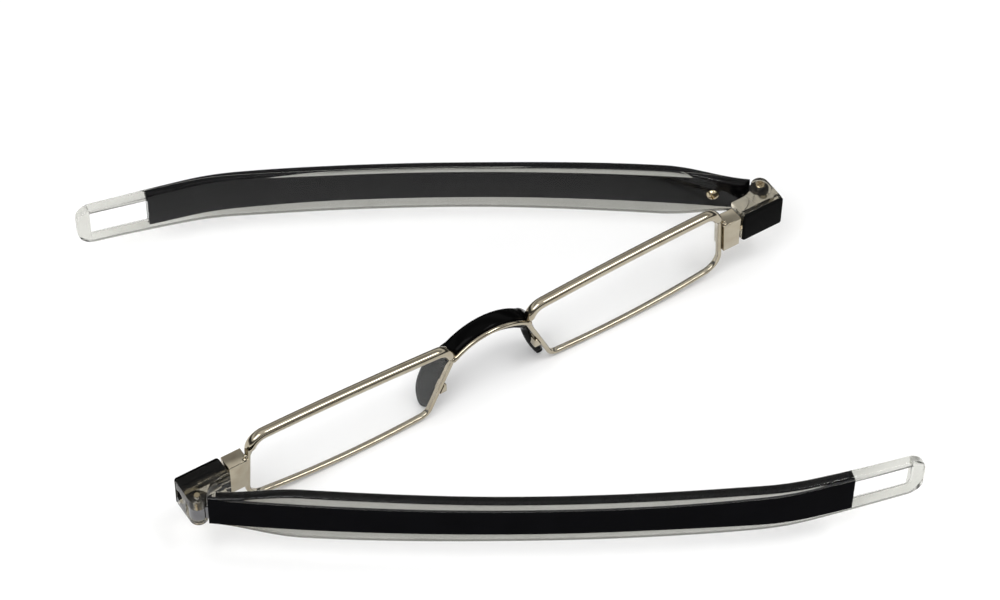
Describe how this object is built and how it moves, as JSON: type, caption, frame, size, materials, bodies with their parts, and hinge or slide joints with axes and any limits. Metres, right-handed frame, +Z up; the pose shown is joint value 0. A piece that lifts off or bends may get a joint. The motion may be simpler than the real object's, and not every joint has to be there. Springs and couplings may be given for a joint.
{
  "type": "folding reading glasses",
  "caption": "Slim folding reading glasses with metal rims, a nose saddle, and clear temples with dark inlays that fold on hinge screws and swivel over the front.",
  "frame": {"origin": "on the table, under the middle of the swivel axis", "axes": "+X along the front to the wearer's left, +Y from the lenses to the wearer, +Z up"},
  "size_m": [0.1402, 0.1434, 0.0216],
  "materials": {
    "polished_metal": "polished champagne nickel",
    "gold_metal": "polished pale gold",
    "steel": "plain steel",
    "dark_steel": "darkened steel",
    "clear_plastic": "clear moulded plastic",
    "black_plastic": "satin black",
    "black_inlay": "smooth black",
    "black_saddle": "glossy black",
    "lens": "clear"
  },
  "bodies": {
    "front": {"rim_left": "polished_metal", "rim_right": "polished_metal", "lens_left": "lens", "lens_right": "lens", "bridge_wire": "polished_metal", "nose_saddle": "black_saddle", "saddle_clips": "polished_metal", "end_piece_left": "polished_metal", "end_piece_right": "polished_metal", "rim_lock_screws": "gold_metal", "swivel_collar_left": "gold_metal", "swivel_collar_right": "gold_metal", "swivel_screw_left": "steel", "swivel_screw_right": "steel", "swivel_spring_left": "steel", "swivel_spring_right": "steel"},
    "swivel_pull_left": {"thrust_washer_left": "steel"},
    "swivel_left": {"swivel_block_left": "clear_plastic", "block_cover_left": "black_plastic", "hinge_screw_left": "gold_metal"},
    "temple_left": {"hinge_leaf_left": "dark_steel", "leaf_screw_left": "gold_metal", "temple_shell_left": "clear_plastic", "temple_inlay_left": "black_inlay"},
    "swivel_pull_right": {"thrust_washer_right": "steel"},
    "swivel_right": {"swivel_block_right": "clear_plastic", "block_cover_right": "black_plastic", "hinge_screw_right": "gold_metal"},
    "temple_right": {"hinge_leaf_right": "dark_steel", "leaf_screw_right": "gold_metal", "temple_shell_right": "clear_plastic", "temple_inlay_right": "black_inlay"}
  },
  "joints": [
    {"name": "pull_left", "type": "slide", "parent": "front", "child": "swivel_pull_left", "axis": [1, 0, 0], "range_m": [0, 0.0005], "stiffness_N_per_m": 500, "springref_m": -0.002, "deforming": ["swivel_spring_left"]},
    {"name": "swivel_left", "type": "hinge", "parent": "swivel_pull_left", "child": "swivel_left", "pos_m": [0.0652, 0, 0.013], "axis": [1, 0, 0], "range_deg": [0, 165]},
    {"name": "fold_left", "type": "hinge", "parent": "swivel_left", "child": "temple_left", "pos_m": [0.0682, 0.0038, 0.013], "axis": [0, 0, -1], "range_deg": [-28, 56.7]},
    {"name": "pull_right", "type": "slide", "parent": "front", "child": "swivel_pull_right", "axis": [-1, 0, 0], "range_m": [0, 0.0005], "stiffness_N_per_m": 500, "springref_m": -0.002, "deforming": ["swivel_spring_right"]},
    {"name": "swivel_right", "type": "hinge", "parent": "swivel_pull_right", "child": "swivel_right", "pos_m": [-0.0652, 0, 0.013], "axis": [-1, 0, 0], "range_deg": [0, 165]},
    {"name": "fold_right", "type": "hinge", "parent": "swivel_right", "child": "temple_right", "pos_m": [-0.0682, -0.0038, 0.013], "axis": [0, 0, -1], "range_deg": [-28, 56.7]}
  ]
}
